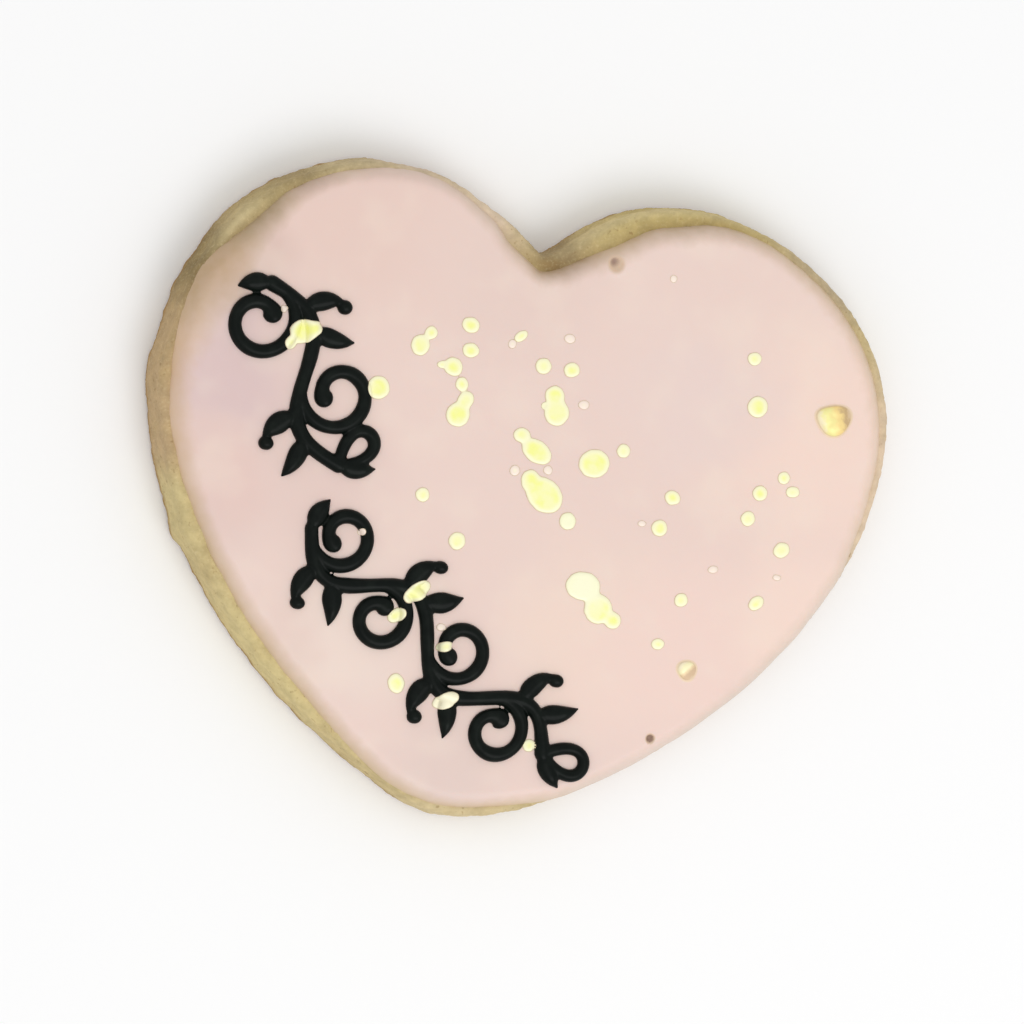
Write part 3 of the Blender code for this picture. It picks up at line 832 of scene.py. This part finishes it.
def scroll_strokes():
    """Every stroke of the scroll: its path and its half width at each point."""
    strokes = []
    for stem in STEMS:
        path = stem_path(**stem)
        strokes.append((path, np.full(len(path), BEAD_HALF_WIDTH)))
        half_waves, first = stem["half_waves"], stem["first"]
        span = math.dist(stem["start"], stem["end"]) / half_waves
        for k in range(half_waves):
            side = -first * (-1) ** k
            point, heading = place_on(path, (k + CURL_PLACE) / half_waves)
            strokes.append(curl(point, heading + CURL_AWAY * side, side, span))
            for kind in LEAVES:
                point, heading = place_on(path, (k + kind["place"]) / half_waves)
                away, bend = heading - kind["away"] * side, -kind["bend"] * side
                strokes.append(leaf(point, away, kind["length"], bend))
            point, heading = place_on(path, (k + 0.5) / half_waves)
            strokes.append(berry(point + heading_vector(heading - side * math.pi / 2) * BERRY_OUT))
        point, heading = place_on(path, 0.0)
        back = heading + math.pi + ROOT_LEAF["away"] * first
        strokes.append(leaf(point, back, ROOT_LEAF["length"], ROOT_LEAF["bend"] * first))
        point, heading = place_on(path, 1.0)
        strokes.append(leaf(point, heading + END_LEAF["away"], END_LEAF["length"], END_LEAF["bend"]))
        strokes.append(petal(point, heading + PETAL_AWAY))
    return strokes


def rounded_ends(path, widths):
    """The stroke with shrinking points added at each end, so that it ends in a round."""
    ends = []
    for tip, inner, width in ((path[0], path[1], widths[0]), (path[-1], path[-2], widths[-1])):
        out = (tip - inner) / math.hypot(*(tip - inner))
        ends.append((tip + np.outer(np.sin(END_TURNS), out) * width, np.cos(END_TURNS) * width))
    points = np.vstack([ends[0][0][::-1], path, ends[1][0]])
    return points, np.concatenate([ends[0][1][::-1], widths, ends[1][1]])


def bead(path, widths, seed):
    """Rings of a piped bead: a round-topped section along the path, its underside sunk in the icing."""
    path, widths = rounded_ends(path, widths)
    widths = widths * (1 + wander(path, 2 + seed, *BEAD_WANDER))
    along = np.gradient(path, axis=0)
    across = np.column_stack([along[:, 1], -along[:, 0]]) / np.maximum(np.hypot(*along.T), TINY)[:, None]
    tall = BEAD_HEIGHT * np.minimum(1.0, widths / BEAD_HALF_WIDTH) ** THIN_BEAD_POWER
    turn = 2 * np.pi * (np.arange(BEAD_SIDES) + 0.5) / BEAD_SIDES
    rings = []
    for point, side, width, height in zip(path, across, widths, tall):
        flat = point + np.outer(np.cos(turn) * width, side)
        up = np.where(np.sin(turn) > 0, height, BEAD_SUNK) * np.sin(turn)
        rings.append(np.column_stack([flat, ICING_TOP + up])[::-1])
    return np.array(rings)


def make_scroll():
    """All the strokes, melted together where they cross."""
    vertices = []
    faces = []
    first = 0
    for seed, (path, widths) in enumerate(scroll_strokes()):
        rings = bead(path, widths, seed)
        last = first + (len(rings) - 1) * BEAD_SIDES
        vertices.append(rings.reshape(-1, 3))
        faces.extend(bands(len(rings), BEAD_SIDES, first))
        faces.append(tuple(reversed(range(first, first + BEAD_SIDES))))
        faces.append(tuple(range(last, last + BEAD_SIDES)))
        first = last + BEAD_SIDES
    obj = new_object("piped_scroll", np.vstack(vertices), faces)
    remesh = obj.modifiers.new("melt together", "REMESH")
    remesh.mode = "VOXEL"
    remesh.voxel_size = SCROLL_VOXEL * MM
    smooth = obj.modifiers.new("settle", "SMOOTH")
    smooth.factor = SETTLE_SHARE
    smooth.iterations = SETTLE_PASSES
    mesh = bpy.data.meshes.new_from_object(obj.evaluated_get(bpy.context.evaluated_depsgraph_get()))
    obj.modifiers.clear()
    obj.data = mesh
    mesh.shade_smooth()
    return obj


def surface_below(obj_list):
    """A function that gives the height in mm of the highest of the pieces at a point of the heart's frame."""
    trees = []
    for obj in obj_list:
        mesh = obj.data
        trees.append(BVHTree.FromPolygons([v.co for v in mesh.vertices], [p.vertices for p in mesh.polygons]))

    def height(x, y):
        start = Vector(((x - MIDDLE[0]) * MM, (y - MIDDLE[1]) * MM, RAY_START * MM))
        hits = [tree.ray_cast(start, Vector((0, 0, -1)))[0] for tree in trees]
        return max(hit.z for hit in hits if hit) / MM

    return height


def drop_kernels(points, drops):
    """How strongly each drop covers each point: 1 on a drop's own edge, more inside it."""
    kernels = []
    for x, y, radius, stretch, degrees in drops:
        turn = math.radians(degrees)
        east, north = points[:, 0] - x, points[:, 1] - y
        along = (east * math.cos(turn) + north * math.sin(turn)) / (radius * stretch**0.5)
        across = (north * math.cos(turn) - east * math.sin(turn)) / (radius / stretch**0.5)
        kernels.append(np.exp(POOLING * (1 - along**2 - across**2)))
    return np.array(kernels)


def warped(points):
    """Points moved a little at random, so that round drops come out ragged."""
    size, reach = POOL_WARP
    noise.seed_set(POOL_SEED)
    moves = [noise.noise_vector(Vector((x, y, 0)) / size) for x, y in points]
    return points + np.array([(move.x, move.y) for move in moves]) * reach


def coverage(points, drops):
    """How deep inside the pools each point lies, 0 on their edge."""
    return np.log(drop_kernels(points, drops).sum(axis=0))


def pool_lattice(drops):
    """Points in mm and triangles of an even lattice that covers the drops."""
    rise = POOL_STEP * math.sqrt(3) / 2
    nodes = set()
    for x, y, radius, stretch, _ in drops:
        reach = radius * stretch**0.5 * POOL_REACH + 2 * POOL_STEP
        for j in range(math.floor((y - reach) / rise), math.ceil((y + reach) / rise) + 1):
            middle = x / POOL_STEP - (j % 2) / 2
            low, high = math.floor(middle - reach / POOL_STEP), math.ceil(middle + reach / POOL_STEP)
            nodes.update((i, j) for i in range(low, high + 1))
    nodes = sorted(nodes)
    index = {node: k for k, node in enumerate(nodes)}
    triangles = []
    for i, j in nodes:
        right, above, beyond = (i + 1, j), (i + j % 2, j + 1), (i + 1 + j % 2, j + 1)
        for corners in (((i, j), right, above), (right, beyond, above)):
            if all(corner in index for corner in corners):
                triangles.append(tuple(index[corner] for corner in corners))
    return np.array([((i + (j % 2) / 2) * POOL_STEP, j * rise) for i, j in nodes]), triangles


def step_to_edge(points, shift, drops):
    """Steps the points just outside the pools back onto their edge."""
    for _ in range(POOL_EDGE_PASSES):
        depth = coverage(points + shift, drops)
        out = depth < 0
        here = points[out] + shift[out]
        slopes = []
        for move in ((POOL_PROBE, 0), (0, POOL_PROBE)):
            change = coverage(here + move, drops) - coverage(here - move, drops)
            slopes.append(change / (2 * POOL_PROBE))
        slopes = np.column_stack(slopes)
        steps = depth[out] / np.maximum((slopes**2).sum(axis=1), POOL_LEAST_SLOPE)
        moves = -slopes * steps[:, None]
        length = np.hypot(*moves.T)
        points[out] += moves * np.minimum(1, POOL_STEP / np.maximum(length, TINY))[:, None]


def closed_below(vertices, triangles, depth):
    """A sheet with the same sheet lower down as its underside, and quads round the edges between them."""
    under = len(vertices)
    faces = triangles + [(c + under, b + under, a + under) for a, b, c in triangles]
    edges = {edge for a, b, c in triangles for edge in ((a, b), (b, c), (c, a))}
    faces += [(b, a, a + under, b + under) for a, b in sorted(edges) if (b, a) not in edges]
    return np.vstack([vertices, vertices - (0, 0, depth)]), faces


def make_pools(name, drops, height_below):
    """Drops of paint that run together where they touch, laid over what is below them."""
    drops = [drop if len(drop) == 5 else drop + (1.0, 0.0) for drop in drops]
    drops = [(x, y, radius + POOL_SPREAD, stretch, degrees) for x, y, radius, stretch, degrees in drops]
    points, triangles = pool_lattice(drops)
    shift = warped(points) - points
    within = coverage(points + shift, drops) > 0
    triangles = [triangle for triangle in triangles if within[list(triangle)].any()]
    step_to_edge(points, shift, drops)
    used = sorted({v for triangle in triangles for v in triangle})
    renumbered = {v: k for k, v in enumerate(used)}
    triangles = [tuple(renumbered[v] for v in triangle) for triangle in triangles]
    points, shift, within = points[used], shift[used], within[used]
    kernels = drop_kernels(points + shift, drops)
    total = kernels.sum(axis=0)
    size = (kernels * np.array([radius for _, _, radius, _, _ in drops])[:, None]).sum(axis=0) / total
    from_edge = size * (1 - np.sqrt(np.clip(1 - np.log(np.maximum(total, 1)) / POOLING, 0, 1))) * within
    share = np.clip(from_edge / POOL_SHOULDER, 0, 1)
    up = POOL_HEIGHT * np.clip(size, POOL_LEAST_SIZE, POOL_FULL_SIZE) * np.sqrt(1 - (1 - share) ** 2)
    base = np.array([height_below(x, y) for x, y in points])
    obj = new_object(name, *closed_below(np.column_stack([points, base + up]), triangles, POOL_SKIRT))
    paint(obj, "rich", np.concatenate([np.clip(from_edge / POOL_DEEP, 0, 1), np.zeros(len(points))]))
    return obj


def nugget_reach(kind, turn):
    """How far a lump's edge lies out in this direction, as a share of its radius."""
    corners = kind["corners"] * math.cos(3 * (turn - math.radians(kind["first_corner"])))
    from_point = math.remainder(turn - math.radians(kind["point_at"]), 2 * math.pi)
    return 1 + corners + kind["point"] * math.exp(-((from_point / POINT_HALF_ANGLE) ** 2))


def nugget_point(kind, t, turn, ring_end, height_below):
    """A lump's point in mm, its share of the way to the side with painted shade, and its share of the ring of
    paint.
    """
    x, y = kind["at"]
    lean = math.radians(kind["shaded_side"])
    ahead, aside = heading_vector(lean), heading_vector(lean + math.pi / 2)
    stretch = kind["stretch"] ** 0.5
    reach = t * nugget_reach(kind, turn)
    towards = reach * math.cos(turn - lean)
    sideways = reach * math.sin(turn - lean)
    px, py = (x, y) + (ahead * towards * stretch + aside * sideways / stretch) * kind["radius"]
    down = np.clip((NUGGET_SLOPE_FROM - towards) / kind["slope"], 0, 1)
    down = NUGGET_LEAST + (1 - NUGGET_LEAST) * down * down * (3 - 2 * down)
    up = kind["height"] * (1 - min(t, 1) ** kind["flatness"]) ** 0.5 * down
    rough = noise.noise(Vector((px, py, x)) / NUGGET_ROUGH_SIZE) * kind["rough"]
    up += rough * (1 - min(t, 1) ** NUGGET_ROUGH_FADE)
    in_ring = np.clip((t - PAINT_RING_FROM) / (ring_end - PAINT_RING_FROM), 0, 1)
    height = height_below(px, py) + up + PAINT_RING_HEIGHT * (1 - 2 * in_ring**2)
    return (px, py, height), (towards + 1) / 2, in_ring


def make_nugget(kind, height_below):
    """A lump of gilded sugar in its ring of paint."""
    ring_end = 1 + PAINT_RING / kind["radius"]
    dome = np.sin(np.linspace(0, math.pi / 2, DOME_RINGS + 1))
    rounds = np.concatenate([dome, np.linspace(1, ring_end, PAINT_RING_STEPS + 1)[1:]])
    made = []
    for t in rounds:
        for turn in np.linspace(0, 2 * math.pi, SPOKES, endpoint=False)[: 1 if t == 0 else None]:
            made.append(nugget_point(kind, t, turn, ring_end, height_below))
    vertices, across, ring = (list(values) for values in zip(*made))
    # The underside has vertices of its own, so that the ring of paint stays flat in the light
    top = len(vertices)
    bottom = top + SPOKES
    edge = vertices[-SPOKES:]
    vertices += edge + [(px, py, z - NUGGET_SKIRT) for px, py, z in edge]
    across += across[-SPOKES:] * 2
    ring += [1.0] * (2 * SPOKES)
    faces = [(0, 1 + k, 1 + (k + 1) % SPOKES) for k in range(SPOKES)]
    # These rings run outwards and down, so the quads between them are turned over
    quads = bands(len(rounds) - 1, SPOKES, 1) + bands(2, SPOKES, top)
    faces += [(a, d, c, b) for a, b, c, d in quads]
    faces.append(tuple(reversed(range(bottom, bottom + SPOKES))))
    obj = new_object(kind["name"], vertices, faces)
    paint(obj, "across", across)
    paint(obj, "ring", ring)
    return obj


def node(tree, kind, **inputs):
    """A shader node with its inputs set or linked, given by name with _ for a space."""
    made = tree.nodes.new(kind)
    for name, value in inputs.items():
        put(tree, made.inputs[name.replace("_", " ")], value)
    return made


def put(tree, socket, value):
    if isinstance(value, bpy.types.NodeSocket):
        tree.links.new(value, socket)
    else:
        socket.default_value = value


def mix(tree, share, under, over):
    made = tree.nodes.new("ShaderNodeMix")
    made.data_type = "RGBA"
    for index, value in ((0, share), (6, under), (7, over)):
        put(tree, made.inputs[index], value)
    return made.outputs[2]


def remap(tree, value, low, high, to_low=0.0, to_high=1.0, kind="SMOOTHSTEP"):
    made = node(tree, "ShaderNodeMapRange", Value=value, From_Min=low, From_Max=high)
    made.inputs["To Min"].default_value = to_low
    made.inputs["To Max"].default_value = to_high
    made.interpolation_type = kind
    return made.outputs["Result"]


def grain(tree, place, size_mm, detail=3.0):
    made = node(tree, "ShaderNodeTexNoise", Vector=place, Scale=1 / (size_mm * MM), Detail=detail)
    return made.outputs["Fac"]


def maths(tree, kind, operation, *values):
    """A node that reckons with numbers or with vectors."""
    made = tree.nodes.new(kind)
    made.operation = operation
    for socket, value in zip(made.inputs, values):
        put(tree, socket, value)
    return made


def ragged(tree, place, value, size_mm):
    """The value moved up and down by noise, so that what starts and ends by it is ragged."""
    moved = remap(tree, grain(tree, place, size_mm, 2.0), *RAGGED_NOISE, -RAGGED, RAGGED)
    return maths(tree, "ShaderNodeMath", "ADD", value, moved).outputs["Value"]


def shaded(tree, colour, light):
    """A colour in more light or less, as a share of what it has."""
    made = maths(tree, "ShaderNodeVectorMath", "SCALE", colour)
    put(tree, made.inputs["Scale"], light)
    return made.outputs["Vector"]


def speckled(tree, place, colour, kinds):
    """Specks and clouds laid over a colour."""
    for size, detail, low, high, strength, over in kinds:
        share = remap(tree, grain(tree, place, size, detail), low, high, 0.0, strength)
        colour = mix(tree, share, colour, srgb(over))
    return colour


def painted(tree, name):
    made = tree.nodes.new("ShaderNodeAttribute")
    made.attribute_name = name
    return made.outputs["Fac"]


def new_material(name, roughness, specular=0.5, metallic=0.0):
    """A material, its tree, and where a point of the piece lies in the part's frame."""
    made = bpy.data.materials.new(name)
    made.use_nodes = True
    shader = made.node_tree.nodes["Principled BSDF"]
    shader.inputs["Roughness"].default_value = roughness
    shader.inputs["Specular IOR Level"].default_value = specular
    shader.inputs["Metallic"].default_value = metallic
    return made, made.node_tree, node(made.node_tree, "ShaderNodeTexCoord").outputs["Object"]


def finished(made, place, colour, bumps):
    """The material with its colour and its bumps."""
    tree = made.node_tree
    shader = tree.nodes["Principled BSDF"]
    size, detail, strength, depth = bumps
    height = grain(tree, place, size, detail)
    bump = node(tree, "ShaderNodeBump", Height=height, Strength=strength, Distance=depth * MM)
    put(tree, shader.inputs["Base Color"], colour)
    put(tree, shader.inputs["Normal"], bump.outputs["Normal"])
    return made


def drifting(tree, place, size_mm, reach_mm):
    """The place moved by soft noise, so that patches measured from it have wandering edges."""
    drift = node(tree, "ShaderNodeTexNoise", Vector=place, Scale=1 / (size_mm * MM), Detail=2.0)
    reach = (reach_mm * MM, reach_mm * MM, 0.0)
    moved = maths(tree, "ShaderNodeVectorMath", "MULTIPLY_ADD", drift.outputs["Color"], reach, place)
    return moved.outputs["Vector"], reach_mm / 2


def patches(tree, place, colour, spots, drift):
    """Soft patches laid over a colour."""
    moved, offset = drifting(tree, place, *drift)
    flat = maths(tree, "ShaderNodeVectorMath", "MULTIPLY", moved, (1.0, 1.0, 0.0)).outputs["Vector"]
    for x, y, reach, shade in spots:
        middle = ((x - MIDDLE[0] + offset) * MM, (y - MIDDLE[1] + offset) * MM, 0.0)
        away = maths(tree, "ShaderNodeVectorMath", "DISTANCE", flat, middle).outputs["Value"]
        share = remap(tree, away, reach * MM, PATCH_CORE * reach * MM)
        colour = mix(tree, share, colour, srgb(shade))
    return colour


def biscuit_material():
    made, tree, place = new_material("baked dough", roughness=0.85, specular=0.3)
    height = node(tree, "ShaderNodeSeparateXYZ", Vector=place).outputs["Z"]
    # Uneven baking, and painted shade on the upper left and in the notch
    colour = patches(tree, place, srgb(DOUGH), BAKING_AND_SHADE, BAKING_AND_SHADE_DRIFT)
    colour = speckled(tree, place, colour, DOUGH_SPECKLES)
    # A painted highlight on the rim's crest and painted shade in its nook below the icing
    for name, strength, over in DOUGH_PAINT:
        share = remap(tree, painted(tree, name), 0.0, 1.0, 0.0, strength, "LINEAR")
        colour = mix(tree, share, colour, srgb(over))
    size, low, high, least, most = DOUGH_MOTTLE
    colour = shaded(tree, colour, remap(tree, grain(tree, place, size), low, high, least, most, "LINEAR"))
    browned = remap(tree, height, BROWNED_FROM * MM, BROWNED_TO * MM)
    colour = mix(tree, browned, colour, srgb(DOUGH_BROWNED))
    return finished(made, place, colour, DOUGH_BUMPS)


def icing_material():
    made, tree, place = new_material("royal icing", roughness=0.45, specular=0.35)
    # Marbling, and painted light: lighter on the right, darker on the left
    colour = patches(tree, place, srgb(ICING_PINK), MARBLING_AND_LIGHT, MARBLING_AND_LIGHT_DRIFT)
    colour = speckled(tree, place, colour, ICING_SPECKLES)
    # The thin edge, with painted shade on the upper left and by the notch
    thin = ragged(tree, place, painted(tree, "thin_edge_and_shade"), RIM_RAGGED_SIZE)
    edge = patches(tree, place, srgb(RIM_TAN), RIM_TONES_AND_SHADE, RIM_DRIFT)
    colour = mix(tree, remap(tree, thin, THIN_FROM, 1.0, 0.0, 1.0, "LINEAR"), colour, edge)
    # A pit's tan stain, then its painted shade
    pitted = painted(tree, "pitted")
    colour = mix(tree, remap(tree, pitted, 0.0, PIT_LIT_SHARE), colour, srgb(PIT_TAN))
    colour = mix(tree, remap(tree, pitted, PIT_LIT_SHARE, 1.0), colour, srgb(PIT_PAINTED_SHADE))
    shader = tree.nodes["Principled BSDF"]
    shader.inputs["Subsurface Weight"].default_value = 0.1
    shader.inputs["Subsurface Radius"].default_value = (1.0, 0.6, 0.4)
    shader.inputs["Subsurface Scale"].default_value = 0.6 * MM
    return finished(made, place, colour, ICING_BUMPS)


def piping_material():
    made, tree, place = new_material("black piping", roughness=0.32, specular=0.1)
    colour = speckled(tree, place, srgb(PIPING_BLACK), PIPING_SPECKLES)
    return finished(made, place, colour, PIPING_BUMPS)


def gold_material(name, thin, rich, spots=()):
    """Gold paint, richer away from its edge and cloudy, with pools of another gold."""
    made, tree, place = new_material(name, roughness=0.42, specular=0.4, metallic=0.12)
    deep = painted(tree, "rich")
    size, detail, *cloudy = GOLD_CLOUDS
    clouds = remap(tree, grain(tree, place, size, detail), *cloudy)
    layer = maths(tree, "ShaderNodeMath", "MULTIPLY", remap(tree, deep, *GOLD_RICH), clouds)
    colour = mix(tree, layer.outputs["Value"], srgb(thin), srgb(rich))
    if spots:
        colour = patches(tree, place, colour, spots, GOLD_DRIFT)
    # A tan rim of thin paint and painted shade round each drop
    colour = mix(tree, remap(tree, deep, GOLD_EDGE_FROM, 0.0), colour, srgb(GOLD_EDGE_AND_SHADE))
    return finished(made, place, colour, GOLD_BUMPS)


def nugget_material(name, kind):
    """Bands of colour across a lump, from a painted highlight on its bright side to painted shade on its far
    side.
    """
    colours = kind["colours"]
    made, tree, place = new_material(name, roughness=0.42, specular=0.4, metallic=0.12)
    across = ragged(tree, place, painted(tree, "across"), BANDS_RAGGED_SIZE)
    colour = srgb(colours[0])
    for (low, high), over in zip(kind["bands"], colours[1:]):
        colour = mix(tree, remap(tree, across, low, high), colour, srgb(over))
    colour = speckled(tree, place, colour, [NUGGET_FLECKS + (colours[2],)])
    # The ring of paint: tan from thin paint and painted shade, fading to pink
    ring = painted(tree, "ring")
    for (low, high), over in zip(PAINT_RING_BANDS, (PAINT_RING_TAN_AND_SHADE, PAINT_RING_PINK)):
        colour = mix(tree, remap(tree, ring, low, high), colour, srgb(over))
    return finished(made, place, colour, NUGGET_BUMPS)


def dress(obj, material, slot, *replaced):
    obj.data.materials.clear()
    obj.data.materials.append(material)
    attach(obj, BODY)
    if replaced:
        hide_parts(*replaced)


def area_light(name, place, size, power):
    light = bpy.data.lights.new(name, "AREA")
    light.size = size
    light.energy = power
    obj = bpy.data.objects.new(name, light)
    obj.location = place
    obj.rotation_euler = Vector(place).to_track_quat("Z", "Y").to_euler()
    bpy.context.scene.collection.objects.link(obj)


def make_camera():
    back = Vector((-math.sin(CAMERA_TILT), 0.0, math.cos(CAMERA_TILT)))
    right = Vector((-math.sin(CAMERA_TURN), math.cos(CAMERA_TURN), 0.0)).cross(back).normalized()
    up = back.cross(right)
    aim = right * AIM_RIGHT - up * AIM_DOWN - Vector((MIDDLE[0], MIDDLE[1], 0.0))
    data = bpy.data.cameras.new("camera")
    data.sensor_width = SENSOR
    data.lens = PIXELS_PER_MM * CAMERA_DISTANCE / PICTURE_SIDE * SENSOR
    data.clip_start = CLIP_START
    camera = bpy.data.objects.new("camera", data)
    turn = Matrix((right, up, back)).transposed()
    camera.matrix_world = Matrix.Translation((aim + back * CAMERA_DISTANCE) * MM) @ turn.to_4x4()
    bpy.context.scene.collection.objects.link(camera)
    bpy.context.scene.camera = camera


def make_stage():
    bpy.ops.mesh.primitive_plane_add(size=FLOOR_SIZE, location=(0, 0, FLOOR_LEVEL))
    floor = bpy.context.object
    floor.name = "floor"
    made, tree, _ = new_material("pale floor", roughness=0.9)
    tree.nodes["Principled BSDF"].inputs["Base Color"].default_value = FLOOR_COLOUR
    floor.data.materials.append(made)
    world = bpy.data.worlds.new("studio")
    world.use_nodes = True
    background = world.node_tree.nodes["Background"]
    background.inputs["Color"].default_value = SKY_COLOUR
    background.inputs["Strength"].default_value = SKY_STRENGTH
    bpy.context.scene.world = world
    for light in LIGHTS:
        area_light(*light)
    bpy.context.scene.view_settings.view_transform = "Standard"


def main():
    make_camera()
    make_stage()
    dough = make_biscuit()
    icing = make_icing()
    scroll = make_scroll()
    height_below = surface_below([icing, scroll])
    gold = make_pools("gold_drops", GOLD_DROPS, height_below)
    pale = make_pools("pale_drops", PALE_DROPS, height_below)
    nugget = make_nugget(NUGGET, height_below)
    bead_of_gold = make_nugget(BEAD, height_below)
    dress(dough, biscuit_material(), "biscuit", "biscuit")
    dress(icing, icing_material(), "icing", "icing")
    dress(scroll, piping_material(), "icing")
    dress(gold, gold_material("gold paint", GOLD_CREAM, GOLD_YELLOW, PALER_GOLD), "icing")
    dress(pale, gold_material("thin gold paint", PALE_GOLD, GOLD_CREAM), "icing")
    dress(nugget, nugget_material("gilded nugget", NUGGET), "icing")
    dress(bead_of_gold, nugget_material("gilded bead", BEAD), "icing")


main()
